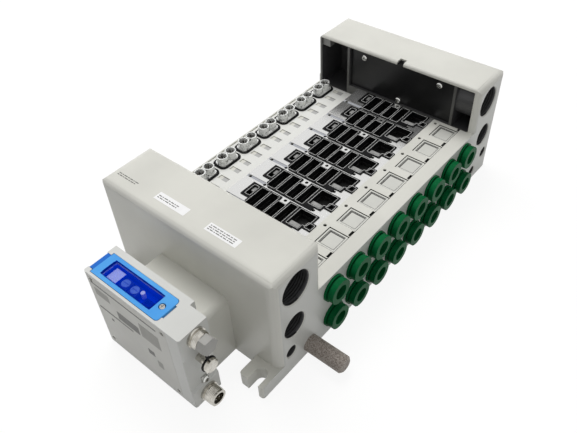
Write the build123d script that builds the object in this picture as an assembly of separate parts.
from build123d import *
from math import cos, pi, sin
import os

# Pneumatic valve island: an eight-station plug-in manifold base with its supply and blind end
# blocks, serial interface unit, port plugs and exhaust silencer.
#
# Frame, in millimetres: X runs across the manifold, towards the port side; Y runs along the
# stack, from the supply end to the blind end; Z is up. The origin is the centre of the underside
# between the outer faces of the two end blocks, on the plane that the island stands on.

os.makedirs("parts", exist_ok=True)

# ---------------------------------------------------------------- driving dimensions
STATIONS = 8
PITCH = 25.0                # one station along the stack
BASE_WIDTH = 157.0          # wiring side to port face
BASE_HEIGHT = 56.0          # feet plane to valve face
SUPPLY_DEPTH = 44.5
BLIND_DEPTH = 42.0
END_HEIGHT = 96.5
END_ROUND = 6.5             # outer edges of an end block
ROOF_ROUND = 6.5            # its roof along the two sides
ROOF_EDGE = 2.4             # its roof on the station side
WALL_ROUNDS = (1.5, 5.0)    # left and right walls on the station side

FOOT_WIDTH = 20.5
FOOT_LENGTH = 17.0
FOOT_HEIGHT = 12.0
FOOT_ROUND = 2.0
SLOT_WIDTH = 9.0            # takes an M8 screw
SLOT_INSET = 8.5            # slot centre line from the port face
SLOT_REACH = 9.0            # slot centre from the end block's outer face

R_PORT_RADIUS = 12.06       # 3/4 pipe thread, minor radius
P_PORT_RADIUS = 9.32        # 1/2
PILOT_RADIUS = 4.28         # 1/8, also the silencer's thread
PORT_CHAMFER = 1.2
R_PORT_Z, P_PORT_Z, PILOT_Z, EXHAUST_Z = 78.0, 43.7, 20.0, 9.3
R_PORT_Y, P_PORT_Y, PILOT_Y, EXHAUST_Y = 20.5, 17.5, 12.8, 31.5   # from the outer face
PORT_DEPTH = 20.0
PILOT_DEPTH = 11.0

SHELF_WIDTH = 44.0          # wiring shelf along the left edge
SHELF_DROP = 8.5            # wiring shelf below the valve face
SHELF_LIP = 1.0             # low fence along the shelf's outer edge
CONNECTOR_INSET = 11.6      # connector centre from the left edge
CONNECTOR_WIDTH = 14.6
CONNECTOR_LENGTH = 23.0
CONNECTOR_CORNER = 5.0
SEAL_BAND = 2.0             # width of the black seal round a connector
SEAL_SEAT = 2.0             # depth of the seal's groove
SEAL_RISE = 0.7
TOWER_RADIUS = 4.6
TOWER_WALL = 0.9
TOWER_RISE = 7.5
TOWER_SPACING = 9.4
PIN_SIZE = 0.9
PIN_RING = 2.1
PINS = 5

FACE_SINK = 3.6             # depth of the gasket's seat in the valve face
GASKET_PROUD = 0.7
GASKET_GAP = 0.1
PASSAGE_SINK = 3.4          # passages below the gasket seat
LIP = 0.55                  # a passage is this much smaller than its window all round
SCREW_HOLE_RADIUS = 1.35
SCREW_HOLE_DEPTH = 7.0

SEAM_INSET = 12.0           # rail between the clip pockets and the port face
CLIP_WIDTH = 16.0
CLIP_LENGTH = 17.0
CLIP_THICKNESS = 2.4
CLIP_SINK = 0.5             # clip's face below the valve face
CLIP_GAP = 0.45

PLUG_Z = (43.5, 16.0)       # rows of cylinder ports
PLUG_FLANGE_RADIUS = 10.4
PLUG_HEAD_RADIUS = 9.5
PLUG_NECK_RADIUS = 8.4
PLUG_SPIGOT_RADIUS = 7.6
PLUG_CUP_RADIUS = 5.5
PLUG_FLANGE = 1.6
PLUG_NECK = 1.1
PLUG_HEAD = 4.2
PLUG_SPIGOT = 12.0
PLUG_FIT = 0.05
PLUG_END_GAP = 0.5          # port's floor behind the plug

SILENCER_RADIUS = 6.5
SILENCER_LENGTH = 30.0
SILENCER_TIP = 1.5
THREAD_GRIP = 8.0

BAY_DEPTH = 30.0            # side bays in an end block's station side
BAY_ROOF = 3.0
LEFT_BAY_WALL, RIGHT_BAY_WALL = 3.0, 5.0
LEFT_BAY_WIDTH = 28.0
RIGHT_BAY_WIDTH = 15.5
BAY_RIB = 2.2
PANEL_SINK = 3.0          # face of the cover panel behind the block's edge
PANEL_THICKNESS = 2.0
PANEL_GAP = 0.3
PANEL_SCREW_INSET = 14.0
PANEL_SCREW_RADIUS = 2.6
PANEL_SCREW_HEAD = 1.8
ROOF_NOTCH = 6.0

ADAPTER_WIDTH = 63.5
ADAPTER_HEIGHT = 57.0
ADAPTER_INSET = 40.5        # right side of the adapter from the port face
ADAPTER_LENGTH = 22.8
ADAPTER_ROUND = 5.0

UNIT_WIDTH = 87.5          # serial interface unit
UNIT_DEPTH = 26.4
UNIT_HEIGHT = 75.0
UNIT_INSET = 29.2          # its right side from the port face
UNIT_LIFT = 1.0
UNIT_BACK_STEP = 3.8
UNIT_STEP_WIDTH = 14.0
UNIT_ROUND = 1.5
SIDE_SINK = 1.5             # recess in the connector side
SIDE_SINK_LOW, SIDE_SINK_HIGH = 17.5, 54.5
FRONT_PLATE_WIDTH = 73.5
FRONT_PLATE_HEIGHT = 70.0
FRONT_PLATE_THICKNESS = 2.5
FRONT_PLATE_GAP = 0.15
FRONT_PLATE_SCREW_INSET = 3.4
FRONT_PLATE_SCREW_RADIUS = 1.5

COVER_LENGTH = 66.8          # display cover on the unit's top
COVER_WIDTH = 19.0
COVER_FRONT = 2.1          # its front edge behind the unit's front face
COVER_THICKNESS = 2.0
COVER_CORNER = 2.5
COVER_GAP = 0.3
WINDOW_START = 10.4          # raised window from the cover's hinge end
WINDOW_LENGTH = 46.5
WINDOW_WIDTH = 13.3
WINDOW_RISE = 0.4
WINDOW_WALL = 1.4
WINDOW_CORNER = 3.0
HINGE_RADIUS = 1.6
HINGE_PIN_RADIUS = 0.8
HINGE_BARREL = 14.6
HINGE_FIT = 0.08
COVER_SCREW_RADIUS = 2.2
COVER_SCREW_SHANK = 1.25
COVER_SCREW_INSET = 5.5
COVER_SCREW_CLEAR = 0.5     # in the housing's hole, so that it swings out with the cover
COVER_SCREW_FIT = 0.1       # in the cover's own hole
WELL_DEPTH = 11.0           # well for the switches, below the cover
BOARD_THICKNESS = 1.6
SWITCH_SIZE = 7.4
SWITCH_HEIGHT = 4.0
SWITCH_DIAL_RADIUS = 3.0
SWITCH_DIAL_HEIGHT = 1.4
SWITCH_PITCH = 8.6
SWITCH_GAP = 0.8            # display to the first switch

M12_RADIUS = 6.0
M12_BORE_RADIUS = 4.3
M12_REACH = 9.5
BUS_Z, AUX_Z, EARTH_Z, POWER_Z = 67.4, 45.7, 21.8, 8.0
CONNECTOR_AXIS = 12.0          # connector axes from the unit's front face
CAP_FLATS = 11.0
CAP_LENGTH = 5.6
AUX_NECK_RADIUS = 2.8
AUX_CAP_RADIUS = 5.0
STRAP_THICKNESS = 1.0

TIE_ROD_RADIUS = 2.5
TIE_ROD_CLEAR = 0.25
TIE_ROD_Z = 30.0

GASKET_MARGIN = 0.9         # gasket edge to the joint between two stations
GASKET_LEFT = -94.5         # gasket's outline across, from the port face
GASKET_RIGHT = -39.7
GASKET_NOTCH = (-74.4, -66.9)
GASKET_NOTCH_DEPTH = 4.6
GASKET_STEP = -49.1         # its front edge steps back from here to the right
GASKET_STEP_DEPTH = 3.7
GASKET_FOOT = -43.4         # and again from here
LEFT_TAB = -102.5
LEFT_TAB_FRONT = -3.9
RIGHT_TAB = -36.2
RIGHT_TAB_SIDES = (-4.2, 3.6)
WINDOW_FRONT = 1.7          # windows' ends from the gasket's front and rear edges
WINDOW_REAR = 1.6
STEP_WINDOW_EDGE = -1.4     # where the two windows that show a step end
VALVE_SCREWS = ((-110.1, -9.5), (-94.4, -10.7), (-70.6, 10.4), (-48.0, -10.2), (-32.1, 8.0))
PILOT_EYE_INSET = 39.4
PILOT_EYE_Y = -0.4
PILOT_EYE_RADIUS = 1.7
GROOVE_DEPTH = 0.4          # shallow groove beside the gasket
GROOVE_START = 1.5
GROOVE_WIDTH = 2.8
POCKET_START = 20.4
POCKET_LENGTH = 9.6
POCKET_WIDTH = 4.6
POCKET_DEPTH = 0.8
POCKET_PLACES = (-4.6, 7.0)
SEAM_WIDTH = 0.5
SEAM_DEPTH = 1.0
SEAM_NOTCH_WIDTH = 1.6
SEAM_NOTCH_REACH = 2.7
SEAM_NOTCH_DEPTH = 2.0
CLIP_RIM = 1.6
CLIP_DISH = 0.6
CONNECTOR_FIT = 0.1
CONNECTOR_FLOOR = 1.6
PIN_RISE = 6.4
PLUG_CUP_DEPTH = 4.6
SEAL_RING_WIDTH = 104.0     # flat seals on the joint faces
SEAL_RING_HEIGHT = 36.0
SEAL_RING_BAND = 2.2
SEAL_RING_THICKNESS = 1.0
SEAL_RING_X = 2.0
SEAL_RING_Z = 27.0
TIE_ROD_X = (-42.0, 46.0)
TIE_ROD_GRIP = 14.0
TIE_HEAD_RADIUS = 4.25
TIE_HEAD_LENGTH = 5.0
TIE_HEAD_SINK = 7.0
TIE_SOCKET_RADIUS = 2.3
TIE_SOCKET_DEPTH = 2.5
BOSS_WALL = 3.4             # metal round a port where its boss crosses the right bay
BLIND_R_PORT_Y = 24.0
BLIND_P_PORT_Y = 21.0
BLIND_EXHAUST_Y = 29.5
PANEL_SCREW_SHANK = 1.5
PANEL_SCREW_GRIP = 8.0
PANEL_SCREW_RISE = 2.6      # lower screw above the valve face
SCREW_CLEAR = 0.2           # round a small screw's shank
BAY_BOSS_WIDTH = 8.0
BAY_BOSS_LENGTH = 6.0
BAY_BOSS_HEIGHT = 7.3
BAY_BOSS_SINK = 1.5
ADAPTER_LEFT_ROUND = 1.5
PANEL_SCREW_DROP = 6.4
COVER_PROUD = 0.2
HINGE_REACH = 4.6
HINGE_PIN_LENGTH = 17.6
COVER_SCREW_SINK = 1.4
COVER_SCREW_HEAD = 1.4
COVER_SCREW_GRIP = 4.5
WELL_MARGIN = 0.25          # window longer than the well at each end
WELL_WIDTH = 12.6
BOARD_GAP = 0.2
DISPLAY_GAP = 1.0           # window's inside to the display and to the socket
DISPLAY_LENGTH = 9.0
DISPLAY_WIDTH = 9.0
DISPLAY_HEIGHT = 5.5
LAMP_RADIUS = 1.5
LAMP_HEIGHT = 5.0
LAMP_GAP = 0.6
LAMP_OFFSET = 1.5           # lamp behind, socket ahead of the board's middle line
DIAL_SINK = 0.6
DIAL_SLOT_LENGTH, DIAL_SLOT_WIDTH, DIAL_SLOT_DEPTH = 4.2, 0.8, 0.6
DIAL_FIT = 0.1
SOCKET_GAP = 3.3             # lamp to the socket
SOCKET_WIDTH = 5.0
SOCKET_HEIGHT = 4.0
SOCKET_WALL = 1.0
FINGER_GAP = 1.6
FINGER_WIDTH = 11.0
PLATE_MARGIN = 2.0
PLATE_CORNER = 1.5
FRONT_SCREW_SINK = 1.2
FRONT_SCREW_SUNK = 0.4      # its head below the plate's face
FRONT_SCREW_GRIP = 4.0
FRONT_PLATE_SCREW_SHANK = 0.9
M12_SEAT = 6.0
M12_FLANGE = 1.6
M12_FLANGE_RADIUS = 6.9
M12_CUP = 7.0
PLUG_PINS = 4
PLUG_PIN_RING = 2.2
PLUG_PIN_SINK = 1.5         # pins' tips inside the barrel's mouth
BUS_REACH = 6.5
AUX_CAP = 3.2
AUX_CHAMFER = 0.8
STRAP_WIDTH = 2.0
STRAP_RIM = 0.6             # strap's ring outside the cap it lies under
STRAP_FIT = 0.05
EARTH_HEAD = 2.7
EARTH_HEAD_HEIGHT = 2.0
EARTH_WASHER = 1.0
EARTH_SHANK = 1.5
SCREW_CROWN = 0.4           # chamfer of a screw's head, as a share of its height
RECESS_ARM = 1.1            # cross recess: length and width as shares of the head's radius
RECESS_SLOT = 0.28
RECESS_DEPTH = 0.6          # and its depth as a share of the head's height

# ---------------------------------------------------------------- places worked out from them
STACK = STATIONS * PITCH
SHELF_Z = BASE_HEIGHT - SHELF_DROP
LENGTH = SUPPLY_DEPTH + STACK + BLIND_DEPTH
RIGHT = BASE_WIDTH / 2
LEFT = -RIGHT
FRONT = -LENGTH / 2
BACK = LENGTH / 2
STACK_FRONT = FRONT + SUPPLY_DEPTH
STACK_BACK = STACK_FRONT + STACK
SHELF_EDGE = LEFT + SHELF_WIDTH
SEAM = RIGHT - SEAM_INSET
UNIT_RIGHT = RIGHT - UNIT_INSET
UNIT_LEFT = UNIT_RIGHT - UNIT_WIDTH
UNIT_BACK = FRONT - ADAPTER_LENGTH
UNIT_FRONT = UNIT_BACK - UNIT_DEPTH
AUX_NECK = BUS_REACH + STRAP_THICKNESS      # the strap lies between the neck's cap and the seal cap


def station_y(index):
    """Middle of a station along the stack, counted from 0 at the supply end."""
    return STACK_FRONT + (index + 0.5) * PITCH


# ---------------------------------------------------------------- small builders
def block(x0, x1, y0, y1, z0, z1):
    """A box between two opposite corners."""
    middle = Pos((x0 + x1) / 2, (y0 + y1) / 2, (z0 + z1) / 2)
    return middle * Box(x1 - x0, y1 - y0, z1 - z0)


def bar_x(x0, x1, y, z, radius):
    return Pos((x0 + x1) / 2, y, z) * Rot(0, 90, 0) * Cylinder(radius, x1 - x0)


def bar_y(y0, y1, x, z, radius):
    return Pos(x, (y0 + y1) / 2, z) * Rot(90, 0, 0) * Cylinder(radius, y1 - y0)


def bar_z(z0, z1, x, y, radius):
    return Pos(x, y, (z0 + z1) / 2) * Cylinder(radius, z1 - z0)


def plate(points, z0, z1):
    """A flat plate with a polygon outline."""
    return Pos(0, 0, z0) * extrude(make_face(Polyline(*points, close=True)), z1 - z0)


def pad(width, length, corner, z0, z1, x=0.0, y=0.0):
    """A flat plate with rounded corners."""
    return Pos(x, y, z0) * extrude(RectangleRounded(width, length, corner), z1 - z0)


def pan_screw(head_radius, head_height, shank_radius, shank_length):
    """Cross-head screw along Z, its head's underside on Z = 0, shank downwards."""
    head = bar_z(0, head_height, 0, 0, head_radius)
    head = chamfer(head.edges().group_by(Axis.Z)[-1], head_height * SCREW_CROWN)
    screw = head + bar_z(-shank_length, 0, 0, 0, shank_radius)
    arm, slot, depth = head_radius * RECESS_ARM, head_radius * RECESS_SLOT, head_height * RECESS_DEPTH
    recess = Box(arm, slot, depth) + Box(slot, arm, depth)
    return screw - Pos(0, 0, head_height - depth / 2) * recess


def save(shape, node):
    export_step(shape, f"parts/{node}.step")


# ---------------------------------------------------------------- valve face
def valve_windows(half):
    """Windows of a valve gasket about its station's middle: x0, x1, y0, y1, passage below or not."""
    low, high = -half + WINDOW_FRONT, half - WINDOW_REAR
    return [
        (-99.5, -95.5, STEP_WINDOW_EDGE, high - 1.0, False),
        (-92.4, -85.6, low, high, True),
        (-82.9, -76.1, low, high, True),
        (-73.7, -67.2, low, high - GASKET_NOTCH_DEPTH + WINDOW_REAR - 1.0, True),
        (-64.6, -58.6, low, high, True),
        (-55.2, -41.3, STEP_WINDOW_EDGE, high, True),
        (-55.2, -45.2, low + GASKET_STEP_DEPTH - 0.3, STEP_WINDOW_EDGE + 0.1, False),
    ]


def gasket_blank(z0, z1, grow=0.0):
    """The valve gasket's outline as a solid about its station's middle, grown all round."""
    half = PITCH / 2 - GASKET_MARGIN + grow
    left, right = RIGHT + GASKET_LEFT - grow, RIGHT + GASKET_RIGHT + grow
    tab_front, tab_rear = RIGHT_TAB_SIDES
    body = block(left, right, -half, half, z0, z1)
    left_tab = block(RIGHT + LEFT_TAB - grow, left, LEFT_TAB_FRONT - grow, half, z0, z1)
    right_tab = block(right, RIGHT + RIGHT_TAB + grow, tab_front - grow, tab_rear + grow, z0, z1)
    notch = block(RIGHT + GASKET_NOTCH[0] + grow, RIGHT + GASKET_NOTCH[1] - grow,
                  half - GASKET_NOTCH_DEPTH, half + 1, z0, z1)
    step = block(RIGHT + GASKET_STEP + grow, RIGHT, -half - 1, -half + GASKET_STEP_DEPTH, z0, z1)
    corner = plate([(left, -half + GASKET_STEP_DEPTH), (left, -half), (left + GASKET_STEP_DEPTH, -half)],
                   z0, z1)
    foot = block(RIGHT + GASKET_FOOT + grow, RIGHT, -half - 1, tab_front - grow, z0, z1)
    return body + left_tab + right_tab - notch - step - corner - foot


def windows(z0, z1, shrink=0.0, passages_only=False):
    """Cutters for the gasket's windows, or for the smaller passages below them."""
    half = PITCH / 2 - GASKET_MARGIN
    return [block(RIGHT + x0 + shrink, RIGHT + x1 - shrink, y0 + shrink, y1 - shrink, z0, z1)
            for x0, x1, y0, y1, passage in valve_windows(half) if passage or not passages_only]


def make_gasket():
    """Moulded rubber gasket, seated in the valve face and a little proud of it."""
    bottom, top = BASE_HEIGHT - FACE_SINK, BASE_HEIGHT + GASKET_PROUD
    gasket = gasket_blank(bottom, top)
    for cutter in windows(bottom - 1, top + 1):
        gasket -= cutter
    pilot_eye = bar_z(bottom - 1, top + 1, RIGHT - PILOT_EYE_INSET, PILOT_EYE_Y, PILOT_EYE_RADIUS)
    return gasket - pilot_eye


def screw_holes():
    """Threaded holes round the valve face, about the station's middle."""
    return [bar_z(BASE_HEIGHT - SCREW_HOLE_DEPTH, BASE_HEIGHT + 1, RIGHT + x, y, SCREW_HOLE_RADIUS)
            for x, y in VALVE_SCREWS]


# ---------------------------------------------------------------- station block
def seal_ring(y0, y1):
    """Flat ring round the air passages, on a joint face between two blocks."""
    half_width, half_height = SEAL_RING_WIDTH / 2, SEAL_RING_HEIGHT / 2
    x, z, band = SEAL_RING_X, SEAL_RING_Z, SEAL_RING_BAND
    outer = block(x - half_width, x + half_width, y0, y1, z - half_height, z + half_height)
    return outer - block(x - half_width + band, x + half_width - band, y0, y1, z - half_height + band,
                         z + half_height - band)


def make_station_block():
    """One station of the manifold base, about its middle along the stack."""
    half = PITCH / 2
    top = BASE_HEIGHT
    body = block(LEFT, RIGHT, -half, half, 0, top)
    body -= block(LEFT - 1, SHELF_EDGE, -half - 1, half + 1, SHELF_Z, top + 1)
    body += block(LEFT, LEFT + SHELF_LIP, -half, half, SHELF_Z - 1, SHELF_Z + SHELF_LIP)

    # wiring shelf: connector seat and two shallow marking pockets
    x = LEFT + CONNECTOR_INSET
    body -= pad(CONNECTOR_WIDTH, CONNECTOR_LENGTH, CONNECTOR_CORNER, SHELF_Z - SEAL_SEAT, SHELF_Z + 1, x)
    for y in POCKET_PLACES:
        pocket = block(LEFT + POCKET_START, LEFT + POCKET_START + POCKET_LENGTH, y - POCKET_WIDTH / 2,
                       y + POCKET_WIDTH / 2, SHELF_Z - POCKET_DEPTH, SHELF_Z + 1)
        body -= pocket

    # valve face: gasket seat, passages, screw holes and the groove beside the gasket
    seat = top - FACE_SINK
    body -= gasket_blank(seat, top + 1, GASKET_GAP)
    for cutter in windows(seat - PASSAGE_SINK, seat + 1, LIP, True):
        body -= cutter
    body -= block(SHELF_EDGE, RIGHT + GASKET_LEFT, -half + GROOVE_START, -half + GROOVE_START + GROOVE_WIDTH,
                  top - GROOVE_DEPTH, top + 1)
    for hole in screw_holes():
        body -= hole

    # port side: clip pocket, seam and the two port bores
    body -= block(SEAM - CLIP_WIDTH - CLIP_GAP, SEAM, -CLIP_LENGTH / 2 - CLIP_GAP,
                  CLIP_LENGTH / 2 + CLIP_GAP, top - CLIP_SINK - CLIP_THICKNESS, top + 1)
    body -= block(SEAM, SEAM + SEAM_WIDTH, -half - 1, half + 1, top - SEAM_DEPTH, top + 1)
    for side in (-1, 1):
        end = side * half
        notch = block(SEAM - SEAM_NOTCH_WIDTH, SEAM + SEAM_WIDTH, min(end, end - side * SEAM_NOTCH_REACH),
                      max(end, end - side * SEAM_NOTCH_REACH), top - SEAM_NOTCH_DEPTH, top + 1)
        body -= notch
    for z in PLUG_Z:
        body -= bar_x(RIGHT - PLUG_SPIGOT - PLUG_END_GAP, RIGHT + 1, 0, z, PLUG_SPIGOT_RADIUS + PLUG_FIT)

    # joint faces: seal groove towards the supply end, and the tie bolts' holes
    body -= seal_ring(-half - 1, -half + SEAL_RING_THICKNESS)
    for x in TIE_ROD_X:
        body -= bar_y(-half - 1, half + 1, x, TIE_ROD_Z, TIE_ROD_RADIUS + TIE_ROD_CLEAR)
    return body


def make_connector():
    """Two-tower plug-in connector on the wiring shelf, about its station's middle."""
    x = LEFT + CONNECTOR_INSET
    inner = 2 * (SEAL_BAND + CONNECTOR_FIT)
    base = pad(CONNECTOR_WIDTH - inner, CONNECTOR_LENGTH - inner, CONNECTOR_CORNER - SEAL_BAND,
               SHELF_Z - SEAL_SEAT, SHELF_Z + CONNECTOR_FLOOR, x)
    for side in (-1, 1):
        y = side * TOWER_SPACING / 2
        tower = bar_z(SHELF_Z, SHELF_Z + TOWER_RISE, x, y, TOWER_RADIUS)
        hollow = bar_z(SHELF_Z + CONNECTOR_FLOOR, SHELF_Z + TOWER_RISE + 1, x, y,
                       TOWER_RADIUS - TOWER_WALL)
        base = base + tower - hollow
    return base


def make_pins():
    """Contact pins of one connector."""
    pins = []
    for side in (-1, 1):
        for i in range(PINS):
            turn = 2 * pi * i / PINS
            x = LEFT + CONNECTOR_INSET + PIN_RING * cos(turn)
            y = side * TOWER_SPACING / 2 + PIN_RING * sin(turn)
            pins.append(block(x - PIN_SIZE / 2, x + PIN_SIZE / 2, y - PIN_SIZE / 2, y + PIN_SIZE / 2,
                              SHELF_Z + CONNECTOR_FLOOR, SHELF_Z + PIN_RISE))
    return pins


def make_connector_seal():
    x = LEFT + CONNECTOR_INSET
    z0, z1 = SHELF_Z - SEAL_SEAT, SHELF_Z + SEAL_RISE
    ring = pad(CONNECTOR_WIDTH, CONNECTOR_LENGTH, CONNECTOR_CORNER, z0, z1, x)
    hole = pad(CONNECTOR_WIDTH - 2 * SEAL_BAND, CONNECTOR_LENGTH - 2 * SEAL_BAND,
               CONNECTOR_CORNER - SEAL_BAND, z0 - 1, z1 + 1, x)
    return ring - hole


def make_clip():
    """Square retaining clip for the port fittings, dished a little on top."""
    top = BASE_HEIGHT - CLIP_SINK
    x = SEAM - CLIP_WIDTH / 2
    clip = Pos(x, 0, top - CLIP_THICKNESS / 2) * Box(CLIP_WIDTH, CLIP_LENGTH, CLIP_THICKNESS)
    dish = Pos(x, 0, top) * Box(CLIP_WIDTH - 2 * CLIP_RIM, CLIP_LENGTH - 2 * CLIP_RIM, CLIP_DISH)
    return clip - dish


def make_plug(z):
    """Flanged port plug, turned about the X axis through a cylinder port."""
    neck_end = PLUG_FLANGE + PLUG_NECK
    tip = neck_end + PLUG_HEAD
    profile = [(-PLUG_SPIGOT, 0), (-PLUG_SPIGOT, PLUG_SPIGOT_RADIUS), (0, PLUG_SPIGOT_RADIUS),
               (0, PLUG_FLANGE_RADIUS), (PLUG_FLANGE, PLUG_FLANGE_RADIUS), (PLUG_FLANGE, PLUG_NECK_RADIUS),
               (neck_end, PLUG_NECK_RADIUS), (neck_end, PLUG_HEAD_RADIUS),
               (tip, PLUG_HEAD_RADIUS), (tip, PLUG_CUP_RADIUS),
               (tip - PLUG_CUP_DEPTH, PLUG_CUP_RADIUS), (tip - PLUG_CUP_DEPTH, 0)]
    turned = revolve(make_face(Polyline(*profile, close=True)), Axis.X)
    return Pos(RIGHT, 0, z) * turned


# ---------------------------------------------------------------- end blocks
def make_foot():
    """Mounting foot on the right of an end block whose outer face is Y = 0, reaching to -Y."""
    x0, x1 = RIGHT - FOOT_WIDTH, RIGHT
    foot = block(x0, x1, -FOOT_LENGTH, END_ROUND, 0, FOOT_HEIGHT)
    tips = foot.edges().filter_by(Axis.Z).group_by(Axis.Y)[0]
    foot = fillet(tips, FOOT_ROUND)
    x = RIGHT - SLOT_INSET
    slot = bar_z(-1, FOOT_HEIGHT + 1, x, -SLOT_REACH, SLOT_WIDTH / 2)
    slot += block(x - SLOT_WIDTH / 2, x + SLOT_WIDTH / 2, -FOOT_LENGTH - 1, -SLOT_REACH, -1, FOOT_HEIGHT + 1)
    return foot - slot


def threaded_port(y, z, radius, depth):
    """Cutter for a pipe port in the port side, with its countersunk mouth."""
    bore = bar_x(RIGHT - depth, RIGHT + 1, y, z, radius)
    mouth = Pos(RIGHT - PORT_CHAMFER / 2, y, z) * Rot(0, 90, 0) * Cone(radius, radius + PORT_CHAMFER,
                                                                        PORT_CHAMFER)
    return bore + mouth


def end_outline(depth):
    """Outer form of an end block: its upper half is its plan, front and side outlines crossed."""
    lower = block(LEFT, RIGHT, 0, depth, 0, BASE_HEIGHT)
    lower = fillet(lower.edges().filter_by(Axis.Z).group_by(Axis.Y)[0], END_ROUND)
    whole = block(LEFT, RIGHT, 0, depth, BASE_HEIGHT, END_HEIGHT)
    plan = fillet(whole.edges().filter_by(Axis.Z).group_by(Axis.Y)[0], END_ROUND)
    for side, radius in zip((0, -1), WALL_ROUNDS):
        plan = fillet(plan.edges().filter_by(Axis.Z).group_by(Axis.Y)[-1].sort_by(Axis.X)[side], radius)
    front = fillet(whole.edges().filter_by(Axis.Y).group_by(Axis.Z)[-1], ROOF_ROUND)
    roof = fillet(whole.edges().filter_by(Axis.X).group_by(Axis.Z)[-1].sort_by(Axis.Y)[0], END_ROUND)
    roof = fillet(roof.edges().filter_by(Axis.X).group_by(Axis.Z)[-1].sort_by(Axis.Y)[-1], ROOF_EDGE)
    return lower + (plan & front & roof)


def make_end_block(depth, r_port_y, p_port_y, pilot_y, exhaust_y):
    """Cast end block with its outer face on Y = 0 and its station side on Y = depth."""
    shell = end_outline(depth)

    # three bays, open towards the stations, with the two large ports' bosses across the right one
    roof_z = END_HEIGHT - BAY_ROOF
    (left0, left1), (right0, right1), (panel0, panel1) = left_bay_span(), right_bay_span(), panel_span()
    bays = block(left0, left1, depth - BAY_DEPTH, depth + 1, SHELF_Z, roof_z)
    bays += block(right0, right1, depth - BAY_DEPTH, depth + 1, BASE_HEIGHT, roof_z)
    bays += block(panel0, panel1, depth - PANEL_SINK - PANEL_THICKNESS, depth + 1, BASE_HEIGHT, roof_z)
    for y, z, radius in ((r_port_y, R_PORT_Z, R_PORT_RADIUS), (p_port_y, P_PORT_Z, P_PORT_RADIUS)):
        bays -= bar_x(right0 - 1, RIGHT, y, z, radius + BOSS_WALL)
    shell -= bays

    shell -= threaded_port(r_port_y, R_PORT_Z, R_PORT_RADIUS, PORT_DEPTH)
    shell -= threaded_port(p_port_y, P_PORT_Z, P_PORT_RADIUS, PORT_DEPTH)
    shell -= threaded_port(pilot_y, PILOT_Z, PILOT_RADIUS, PILOT_DEPTH)
    shell -= threaded_port(exhaust_y, EXHAUST_Z, PILOT_RADIUS, PILOT_DEPTH)
    return shell


def left_bay_span():
    """Left and right sides of the left bay."""
    return LEFT + LEFT_BAY_WALL, LEFT + LEFT_BAY_WALL + LEFT_BAY_WIDTH


def right_bay_span():
    return RIGHT - RIGHT_BAY_WALL - RIGHT_BAY_WIDTH, RIGHT - RIGHT_BAY_WALL


def panel_span():
    """Left and right sides of the middle bay, between the two ribs."""
    return left_bay_span()[1] + BAY_RIB, right_bay_span()[0] - BAY_RIB


def make_supply_end():
    """Supply end block: two slotted feet, and the threads that the tie bolts screw into."""
    end = make_end_block(SUPPLY_DEPTH, R_PORT_Y, P_PORT_Y, PILOT_Y, EXHAUST_Y)
    end = Pos(0, FRONT, 0) * (end + make_foot() + mirror(make_foot(), Plane.YZ))
    for x in TIE_ROD_X:
        end -= bar_y(STACK_FRONT - TIE_ROD_GRIP, STACK_FRONT + 1, x, TIE_ROD_Z, TIE_ROD_RADIUS)
    return end


def make_blind_end():
    """Blind end block, mirrored, with its panel's threads and the tie bolts' head pockets."""
    end = make_end_block(BLIND_DEPTH, BLIND_R_PORT_Y, BLIND_P_PORT_Y, PILOT_Y, BLIND_EXHAUST_Y)
    end = Pos(0, BACK, 0) * mirror(end, Plane.XZ)

    # small cast boss in the left bay's upper corner, and the notch in the roof over the panel
    x0, roof_z = left_bay_span()[0], END_HEIGHT - BAY_ROOF
    y0 = STACK_BACK + BAY_BOSS_SINK
    end += block(x0, x0 + BAY_BOSS_WIDTH, y0, y0 + BAY_BOSS_LENGTH, roof_z - BAY_BOSS_HEIGHT, roof_z)
    notch_x = sum(panel_span()) / 2
    end -= block(notch_x - ROOF_NOTCH / 2, notch_x + ROOF_NOTCH / 2, STACK_BACK - 1, STACK_BACK + ROOF_NOTCH,
                 roof_z - 1, END_HEIGHT + 1)

    end -= seal_ring(STACK_BACK - 1, STACK_BACK + SEAL_RING_THICKNESS)
    for x in TIE_ROD_X:
        end -= bar_y(STACK_BACK - 1, BACK + 1, x, TIE_ROD_Z, TIE_ROD_RADIUS + TIE_ROD_CLEAR)
        end -= bar_y(BACK - TIE_HEAD_SINK, BACK + 1, x, TIE_ROD_Z, TIE_HEAD_RADIUS + 2 * TIE_ROD_CLEAR)
    back = STACK_BACK + PANEL_SINK + PANEL_THICKNESS
    for x, z in panel_screw_places():
        end -= bar_y(back - 1, back + PANEL_SCREW_GRIP, x, z, PANEL_SCREW_SHANK)
    return end


def panel_screw_places():
    x0, x1 = panel_span()
    upper_z = END_HEIGHT - BAY_ROOF - PANEL_SCREW_DROP
    return [(x0 + PANEL_SCREW_INSET, upper_z), (x1 - PANEL_SCREW_INSET, upper_z),
            ((x0 + x1) / 2, BASE_HEIGHT + PANEL_SCREW_RISE)]


def make_cover_panel():
    """Flat panel that closes the blind end's middle bay."""
    x0, x1 = panel_span()
    y = STACK_BACK + PANEL_SINK
    panel = block(x0 + PANEL_GAP, x1 - PANEL_GAP, y, y + PANEL_THICKNESS, BASE_HEIGHT,
                  END_HEIGHT - BAY_ROOF - PANEL_GAP)
    for x, z in panel_screw_places():
        panel -= bar_y(y - 1, y + PANEL_THICKNESS + 1, x, z, PANEL_SCREW_SHANK + SCREW_CLEAR)
    return panel


def make_panel_screws():
    screw = pan_screw(PANEL_SCREW_RADIUS, PANEL_SCREW_HEAD, PANEL_SCREW_SHANK,
                      PANEL_THICKNESS + PANEL_SCREW_GRIP)
    y = STACK_BACK + PANEL_SINK
    return [Pos(x, y, z) * Rot(90, 0, 0) * screw for x, z in panel_screw_places()]


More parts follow.
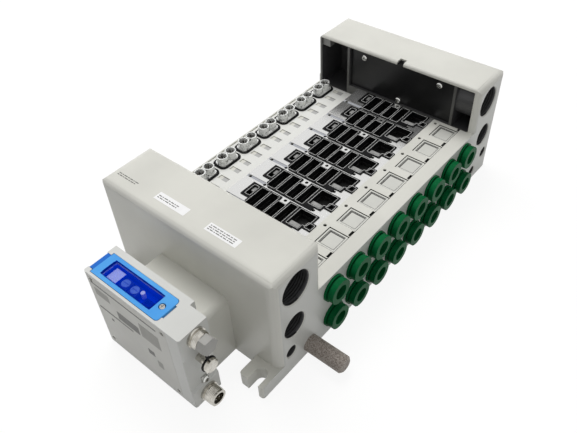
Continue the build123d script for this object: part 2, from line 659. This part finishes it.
def make_tie_bolts():
    """Long socket-head bolts that clamp the stack together."""
    bolts = []
    for x in TIE_ROD_X:
        seat = BACK - TIE_HEAD_SINK
        bolt = bar_y(STACK_FRONT - TIE_ROD_GRIP, seat, x, TIE_ROD_Z, TIE_ROD_RADIUS)
        bolt += bar_y(seat, seat + TIE_HEAD_LENGTH, x, TIE_ROD_Z, TIE_HEAD_RADIUS)
        socket = extrude(RegularPolygon(TIE_SOCKET_RADIUS, 6), TIE_SOCKET_DEPTH)
        bolt -= Pos(x, seat + TIE_HEAD_LENGTH, TIE_ROD_Z) * Rot(90, 0, 0) * socket
        bolts.append(bolt)
    return bolts


def make_silencer():
    """Sintered exhaust silencer in the supply end's lowest port, and its threaded neck."""
    y = FRONT + EXHAUST_Y
    body = bar_x(RIGHT, RIGHT + SILENCER_LENGTH, y, EXHAUST_Z, SILENCER_RADIUS)
    body = chamfer(body.edges().group_by(Axis.X)[-1], SILENCER_TIP)
    return body + bar_x(RIGHT - THREAD_GRIP, RIGHT, y, EXHAUST_Z, PILOT_RADIUS)


# ---------------------------------------------------------------- serial interface unit
def make_adapter():
    """Adapter between the supply end block and the interface unit."""
    x1 = RIGHT - ADAPTER_INSET
    body = block(x1 - ADAPTER_WIDTH, x1, UNIT_BACK, FRONT, UNIT_LIFT, ADAPTER_HEIGHT)
    left_edge, right_edge = body.edges().filter_by(Axis.Y).group_by(Axis.Z)[-1].sort_by(Axis.X)
    body = fillet(left_edge, ADAPTER_LEFT_ROUND)
    return fillet(body.edges().filter_by(Axis.Y).group_by(Axis.Z)[-1].sort_by(Axis.X)[-1], ADAPTER_ROUND)


def cover_box(grow, z0, z1):
    """The display cover's flat plate without its hinge, or its seat, with twice the room at the hinge."""
    x0, x1 = UNIT_LEFT + HINGE_REACH, UNIT_LEFT + COVER_LENGTH
    y0 = UNIT_FRONT + COVER_FRONT
    flat = block(x0 - 2 * grow, x1 + grow, y0 - grow, y0 + COVER_WIDTH + grow, z0, z1)
    return fillet(flat.edges().filter_by(Axis.Z).group_by(Axis.X)[-1], COVER_CORNER)


COVER_MIDDLE = UNIT_FRONT + COVER_FRONT + COVER_WIDTH / 2
COVER_TOP = UNIT_HEIGHT + COVER_PROUD
COVER_UNDER = COVER_TOP - COVER_THICKNESS
HINGE_X = UNIT_LEFT + HINGE_RADIUS + COVER_PROUD
HINGE_Z = COVER_TOP - HINGE_RADIUS
SCREW_X = UNIT_LEFT + COVER_LENGTH - COVER_SCREW_INSET
WINDOW_X = UNIT_LEFT + WINDOW_START + WINDOW_LENGTH / 2
WELL_LENGTH = WINDOW_LENGTH - 2 * WELL_MARGIN
WINDOW_INSIDE = WINDOW_LENGTH / 2 - WINDOW_WALL     # half the length inside the raised window
WELL_FLOOR = UNIT_HEIGHT - WELL_DEPTH
BOARD_TOP = WELL_FLOOR + BOARD_THICKNESS
FIRST_SWITCH_X = WINDOW_X - WINDOW_INSIDE + DISPLAY_GAP + DISPLAY_LENGTH + SWITCH_GAP + SWITCH_SIZE / 2
LAMP_X = FIRST_SWITCH_X + SWITCH_PITCH + SWITCH_SIZE / 2 + LAMP_RADIUS + LAMP_GAP
SOCKET_END = WINDOW_X + WINDOW_INSIDE - DISPLAY_GAP
SOCKET_LENGTH = SOCKET_END - LAMP_X - LAMP_RADIUS - SOCKET_GAP


def make_housing():
    """Interface unit's housing: switch well under the cover, plate seat, connector side."""
    body = block(UNIT_LEFT, UNIT_RIGHT, UNIT_FRONT, UNIT_BACK, UNIT_LIFT, UNIT_HEIGHT)
    body -= block(UNIT_RIGHT - UNIT_STEP_WIDTH, UNIT_RIGHT + 1, UNIT_BACK - UNIT_BACK_STEP, UNIT_BACK + 1,
                  UNIT_LIFT - 1, UNIT_HEIGHT + 1)
    rim = body.edges().group_by(Axis.Y)[0].filter_by(Axis.Z)
    body = fillet(rim, UNIT_ROUND)

    # connector side: shallow recess with sloped ends
    x, low, high = UNIT_RIGHT, SIDE_SINK_LOW, SIDE_SINK_HIGH
    hollow = [(x - SIDE_SINK, low + SIDE_SINK), (x - SIDE_SINK, high - SIDE_SINK), (x, high), (x + 1, high),
              (x + 1, low), (x, low)]
    section = Plane.XZ.offset(-UNIT_BACK) * make_face(Polyline(*hollow, close=True))
    body -= extrude(section, UNIT_DEPTH)

    # front plate seat
    body -= front_plate_blank(FRONT_PLATE_GAP, UNIT_FRONT - 1, UNIT_FRONT + FRONT_PLATE_THICKNESS)
    for x, z in front_screw_places():
        body -= bar_y(UNIT_FRONT, UNIT_FRONT + FRONT_PLATE_THICKNESS + FRONT_SCREW_GRIP, x, z,
                      FRONT_PLATE_SCREW_SHANK)

    # top: cover seat, hinge trough, switch well and the cover screw's hole
    body -= cover_box(COVER_GAP, COVER_UNDER, UNIT_HEIGHT + 1)
    trough = HINGE_BARREL / 2 + COVER_GAP
    body -= block(UNIT_LEFT - 1, UNIT_LEFT + HINGE_REACH, COVER_MIDDLE - trough, COVER_MIDDLE + trough,
                  HINGE_Z - HINGE_RADIUS - COVER_GAP, UNIT_HEIGHT + 1)
    body -= bar_y(COVER_MIDDLE - HINGE_PIN_LENGTH / 2, COVER_MIDDLE + HINGE_PIN_LENGTH / 2, HINGE_X, HINGE_Z,
                  HINGE_PIN_RADIUS)
    body -= block(WINDOW_X - WELL_LENGTH / 2, WINDOW_X + WELL_LENGTH / 2, COVER_MIDDLE - WELL_WIDTH / 2,
                  COVER_MIDDLE + WELL_WIDTH / 2, WELL_FLOOR, UNIT_HEIGHT + 1)
    body -= bar_z(COVER_UNDER - COVER_SCREW_GRIP - 1, UNIT_HEIGHT, SCREW_X, COVER_MIDDLE,
                  COVER_SCREW_SHANK + COVER_SCREW_CLEAR)
    cover_end = UNIT_LEFT + COVER_LENGTH
    body -= block(cover_end, cover_end + FINGER_GAP, COVER_MIDDLE - FINGER_WIDTH / 2,
                  COVER_MIDDLE + FINGER_WIDTH / 2, COVER_UNDER, UNIT_HEIGHT + 1)

    # connector holes
    for z, radius in ((BUS_Z, M12_BORE_RADIUS), (AUX_Z, AUX_NECK_RADIUS), (POWER_Z, M12_BORE_RADIUS)):
        body -= bar_x(UNIT_RIGHT - M12_SEAT, UNIT_RIGHT + 1, CONNECTOR_Y, z, radius)
    body -= bar_x(UNIT_RIGHT - M12_SEAT, UNIT_RIGHT + 1, CONNECTOR_Y, EARTH_Z, EARTH_SHANK)
    return body


def front_plate_blank(grow, y0, y1):
    x0 = UNIT_LEFT + PLATE_MARGIN
    z0 = UNIT_LIFT + PLATE_MARGIN
    flat = RectangleRounded(FRONT_PLATE_WIDTH + 2 * grow, FRONT_PLATE_HEIGHT + 2 * grow, PLATE_CORNER)
    middle = Pos(x0 + FRONT_PLATE_WIDTH / 2, y1, z0 + FRONT_PLATE_HEIGHT / 2)
    return middle * Rot(90, 0, 0) * extrude(flat, y1 - y0)


def front_screw_places():
    x0 = UNIT_LEFT + PLATE_MARGIN + FRONT_PLATE_SCREW_INSET
    x1 = UNIT_LEFT + PLATE_MARGIN + FRONT_PLATE_WIDTH - FRONT_PLATE_SCREW_INSET
    z0 = UNIT_LIFT + PLATE_MARGIN + FRONT_PLATE_SCREW_INSET
    z1 = z0 + FRONT_PLATE_HEIGHT - 2 * FRONT_PLATE_SCREW_INSET
    return [(x, z) for x in (x0, x1) for z in (z0, z1)]


def make_front_plate():
    """Plate on the unit's front face, with four sunk screws."""
    panel = front_plate_blank(0, UNIT_FRONT, UNIT_FRONT + FRONT_PLATE_THICKNESS)
    for x, z in front_screw_places():
        panel -= bar_y(UNIT_FRONT - 1, UNIT_FRONT + FRONT_SCREW_SINK, x, z,
                       FRONT_PLATE_SCREW_RADIUS + SCREW_CLEAR)
        panel -= bar_y(UNIT_FRONT - 1, UNIT_FRONT + FRONT_PLATE_THICKNESS + 1, x, z,
                       FRONT_PLATE_SCREW_SHANK + SCREW_CLEAR)
    return panel


def make_front_screws():
    head = FRONT_SCREW_SINK - FRONT_SCREW_SUNK
    grip = FRONT_PLATE_THICKNESS - FRONT_SCREW_SINK + FRONT_SCREW_GRIP
    screw = pan_screw(FRONT_PLATE_SCREW_RADIUS, head, FRONT_PLATE_SCREW_SHANK, grip)
    return [Pos(x, UNIT_FRONT + FRONT_SCREW_SINK, z) * Rot(90, 0, 0) * screw for x, z in front_screw_places()]


def make_display_cover():
    """Hinged translucent cover with a raised window, hollow below."""
    cover = cover_box(0, COVER_UNDER, COVER_TOP)
    cover += pad(WINDOW_LENGTH, WINDOW_WIDTH, WINDOW_CORNER, COVER_UNDER, COVER_TOP + WINDOW_RISE, WINDOW_X,
                 COVER_MIDDLE)
    cover -= pad(WINDOW_LENGTH - 2 * WINDOW_WALL, WINDOW_WIDTH - 2 * WINDOW_WALL, WINDOW_CORNER - WINDOW_WALL,
                 COVER_UNDER - 1, COVER_TOP + WINDOW_RISE - WINDOW_WALL, WINDOW_X, COVER_MIDDLE)
    half = HINGE_BARREL / 2
    cover += bar_y(COVER_MIDDLE - half, COVER_MIDDLE + half, HINGE_X, HINGE_Z, HINGE_RADIUS)
    cover += block(HINGE_X, UNIT_LEFT + HINGE_REACH + 1, COVER_MIDDLE - half, COVER_MIDDLE + half,
                   COVER_UNDER, COVER_TOP)
    cover -= bar_y(COVER_MIDDLE - half - 1, COVER_MIDDLE + half + 1, HINGE_X, HINGE_Z,
                   HINGE_PIN_RADIUS + HINGE_FIT)
    cover -= bar_z(COVER_TOP - COVER_SCREW_SINK, COVER_TOP + 1, SCREW_X, COVER_MIDDLE,
                   COVER_SCREW_RADIUS + SCREW_CLEAR)
    return cover - bar_z(COVER_UNDER - 1, COVER_TOP + 1, SCREW_X, COVER_MIDDLE,
                         COVER_SCREW_SHANK + COVER_SCREW_FIT)


def make_cover_screw():
    grip = COVER_THICKNESS - COVER_SCREW_SINK + COVER_SCREW_GRIP
    screw = pan_screw(COVER_SCREW_RADIUS, COVER_SCREW_HEAD, COVER_SCREW_SHANK, grip)
    return Pos(SCREW_X, COVER_MIDDLE, COVER_TOP - COVER_SCREW_SINK) * screw


def switch_places():
    return [(FIRST_SWITCH_X, COVER_MIDDLE), (FIRST_SWITCH_X + SWITCH_PITCH, COVER_MIDDLE)]


def make_board():
    """Circuit board with its soldered display block and status lamp."""
    board = block(WINDOW_X - WELL_LENGTH / 2 + BOARD_GAP, WINDOW_X + WELL_LENGTH / 2 - BOARD_GAP,
                  COVER_MIDDLE - WELL_WIDTH / 2 + BOARD_GAP, COVER_MIDDLE + WELL_WIDTH / 2 - BOARD_GAP,
                  WELL_FLOOR, BOARD_TOP)
    x0 = WINDOW_X - WINDOW_INSIDE + DISPLAY_GAP
    board += block(x0, x0 + DISPLAY_LENGTH, COVER_MIDDLE - DISPLAY_WIDTH / 2,
                   COVER_MIDDLE + DISPLAY_WIDTH / 2, BOARD_TOP, BOARD_TOP + DISPLAY_HEIGHT)
    return board + bar_z(BOARD_TOP, BOARD_TOP + LAMP_HEIGHT, LAMP_X, COVER_MIDDLE + LAMP_OFFSET, LAMP_RADIUS)


def make_switch_bodies():
    bodies = []
    for x, y in switch_places():
        z0, z1 = BOARD_TOP, BOARD_TOP + SWITCH_HEIGHT
        body = Pos(x, y, (z0 + z1) / 2) * Box(SWITCH_SIZE, SWITCH_SIZE, SWITCH_HEIGHT)
        bodies.append(body - bar_z(z1 - DIAL_SINK, z1 + 1, x, y, SWITCH_DIAL_RADIUS + DIAL_FIT))
    return bodies


def make_dial(x, y):
    """Turning dial of an address switch, with a screwdriver slot."""
    z0 = BOARD_TOP + SWITCH_HEIGHT - DIAL_SINK
    dial = bar_z(z0, z0 + SWITCH_DIAL_HEIGHT, x, y, SWITCH_DIAL_RADIUS)
    slot = Pos(x, y, z0 + SWITCH_DIAL_HEIGHT) * Box(DIAL_SLOT_LENGTH, DIAL_SLOT_WIDTH, 2 * DIAL_SLOT_DEPTH)
    return dial - slot


def make_board_socket():
    """Black plug-in socket at the screw end of the board."""
    middle = COVER_MIDDLE - LAMP_OFFSET
    body = block(SOCKET_END - SOCKET_LENGTH, SOCKET_END, middle - SOCKET_WIDTH / 2, middle + SOCKET_WIDTH / 2,
                 BOARD_TOP, BOARD_TOP + SOCKET_HEIGHT)
    mouth = body.faces().sort_by(Axis.Z)[-1].center()
    room = Box(SOCKET_LENGTH - 2 * SOCKET_WALL, SOCKET_WIDTH - 2 * SOCKET_WALL, SOCKET_HEIGHT)
    return body - Pos(mouth) * room


# ---------------------------------------------------------------- connectors on the unit's side
CONNECTOR_Y = UNIT_FRONT + CONNECTOR_AXIS


def turned_x(profile, x, z):
    """Revolve an (along, radius) profile about a connector's axis, from X = x."""
    solid = revolve(make_face(Polyline(*profile, close=True)), Axis.X)
    return Pos(x, CONNECTOR_Y, z) * solid


def make_bus_connector():
    """M12 socket: shank in the housing, flange, threaded barrel."""
    profile = [(-M12_SEAT, 0), (-M12_SEAT, M12_BORE_RADIUS), (0, M12_BORE_RADIUS), (0, M12_FLANGE_RADIUS),
               (M12_FLANGE, M12_FLANGE_RADIUS), (M12_FLANGE, M12_RADIUS), (BUS_REACH, M12_RADIUS),
               (BUS_REACH, 0)]
    return turned_x(profile, UNIT_RIGHT, BUS_Z)


def make_power_connector():
    """M12 plug: open barrel with a floor."""
    profile = [(-M12_SEAT, 0), (-M12_SEAT, M12_BORE_RADIUS), (0, M12_BORE_RADIUS), (0, M12_FLANGE_RADIUS),
               (M12_FLANGE, M12_FLANGE_RADIUS), (M12_FLANGE, M12_RADIUS), (M12_REACH, M12_RADIUS),
               (M12_REACH, M12_BORE_RADIUS), (M12_REACH - M12_CUP, M12_BORE_RADIUS), (M12_REACH - M12_CUP, 0)]
    barrel = turned_x(profile, UNIT_RIGHT, POWER_Z)
    for i in range(PLUG_PINS):
        turn = pi / 4 + i * pi / 2
        y, z = CONNECTOR_Y + PLUG_PIN_RING * cos(turn), POWER_Z + PLUG_PIN_RING * sin(turn)
        x1, half = UNIT_RIGHT + M12_REACH - PLUG_PIN_SINK, PIN_SIZE / 2
        barrel += block(UNIT_RIGHT, x1, y - half, y + half, z - half, z + half)
    return barrel


def make_seal_cap():
    """Hexagonal seal cap screwed on the bus connector."""
    x0 = UNIT_RIGHT + BUS_REACH
    hexagon = extrude(Plane.YZ * RegularPolygon(CAP_FLATS / 2, 6, major_radius=False), CAP_LENGTH)
    return Pos(x0, CONNECTOR_Y, BUS_Z) * hexagon


def make_aux_connector():
    """Small round connector with a knurled cap."""
    profile = [(-M12_SEAT, 0), (-M12_SEAT, AUX_NECK_RADIUS), (AUX_NECK, AUX_NECK_RADIUS),
               (AUX_NECK, AUX_CAP_RADIUS), (AUX_NECK + AUX_CAP - AUX_CHAMFER, AUX_CAP_RADIUS),
               (AUX_NECK + AUX_CAP, AUX_CAP_RADIUS - AUX_CHAMFER), (AUX_NECK + AUX_CAP, 0)]
    return turned_x(profile, UNIT_RIGHT, AUX_Z)


def make_strap():
    """Rubber strap: a ring round the small connector's neck and a tongue up to the seal cap."""
    x1 = UNIT_RIGHT + AUX_NECK
    x0 = x1 - STRAP_THICKNESS
    ring = bar_x(x0, x1, CONNECTOR_Y, AUX_Z, AUX_CAP_RADIUS + STRAP_RIM)
    top = BUS_Z - CAP_FLATS / 2
    tongue = block(x0, x1, CONNECTOR_Y - STRAP_WIDTH / 2, CONNECTOR_Y + STRAP_WIDTH / 2, AUX_Z, top)
    return ring + tongue - bar_x(x0 - 1, x1 + 1, CONNECTOR_Y, AUX_Z, AUX_NECK_RADIUS + STRAP_FIT)


def make_earth_screw():
    """Earth terminal screw with its square washer."""
    screw = pan_screw(EARTH_HEAD, EARTH_HEAD_HEIGHT, EARTH_SHANK, M12_SEAT + EARTH_WASHER - SIDE_SINK)
    washer = Pos(0, 0, -EARTH_WASHER / 2) * Box(2 * EARTH_HEAD, 2 * EARTH_HEAD, EARTH_WASHER)
    return Pos(UNIT_RIGHT - SIDE_SINK + EARTH_WASHER, CONNECTOR_Y, EARTH_Z) * Rot(0, 90, 0) * (screw + washer)


# ---------------------------------------------------------------- write every node
def at_stations(make):
    """The same solids at every station, as one list."""
    solids = []
    for i in range(STATIONS):
        made = make()
        parts = made if isinstance(made, list) else [made]
        solids += [Pos(0, station_y(i), 0) * part for part in parts]
    return solids


def group(solids):
    """Separate solids in one node."""
    return Compound(children=[part.solid() for part in solids])


station_block, valve_gasket, connector = make_station_block(), make_gasket(), make_connector()
plug_pair = [make_plug(z) for z in PLUG_Z]
for i in range(STATIONS):
    place = Pos(0, station_y(i), 0)
    save(place * station_block, f"station_block_{i + 1}")
    save(place * valve_gasket, f"valve_gasket_{i + 1}")
    save(place * connector, f"connector_{i + 1}")
    save(group([place * plug for plug in plug_pair]), f"port_plugs_{i + 1}")

save(group(at_stations(make_pins)), "connector_pins")
save(group(at_stations(make_connector_seal)), "connector_seals")
save(group(at_stations(make_clip)), "fitting_clips")

joint_faces = [STACK_FRONT + i * PITCH for i in range(STATIONS + 1)]
save(group([seal_ring(y, y + SEAL_RING_THICKNESS) for y in joint_faces]), "station_seals")

save(make_supply_end(), "supply_end_block")
save(make_blind_end(), "blind_end_block")
save(make_cover_panel(), "cover_panel")
save(group(make_panel_screws()), "panel_screws")
save(group(make_tie_bolts()), "tie_bolts")
save(make_silencer(), "silencer")

save(make_adapter(), "unit_adapter")
save(make_housing(), "unit_housing")
save(make_front_plate(), "unit_front_plate")
save(group(make_front_screws()), "front_plate_screws")
save(make_display_cover(), "display_cover")
save(bar_y(COVER_MIDDLE - HINGE_PIN_LENGTH / 2, COVER_MIDDLE + HINGE_PIN_LENGTH / 2, HINGE_X, HINGE_Z,
           HINGE_PIN_RADIUS), "cover_hinge_pin")
save(make_cover_screw(), "cover_screw")
save(make_board(), "circuit_board")
save(group(make_switch_bodies()), "rotary_switches")
for i, (x, y) in enumerate(switch_places()):
    save(make_dial(x, y), f"switch_dial_{i + 1}")
save(make_board_socket(), "board_socket")

save(make_bus_connector(), "bus_connector")
save(make_seal_cap(), "bus_seal_cap")
save(make_strap(), "cap_strap")
save(make_aux_connector(), "aux_connector")
save(make_power_connector(), "power_connector")
save(make_earth_screw(), "earth_screw")
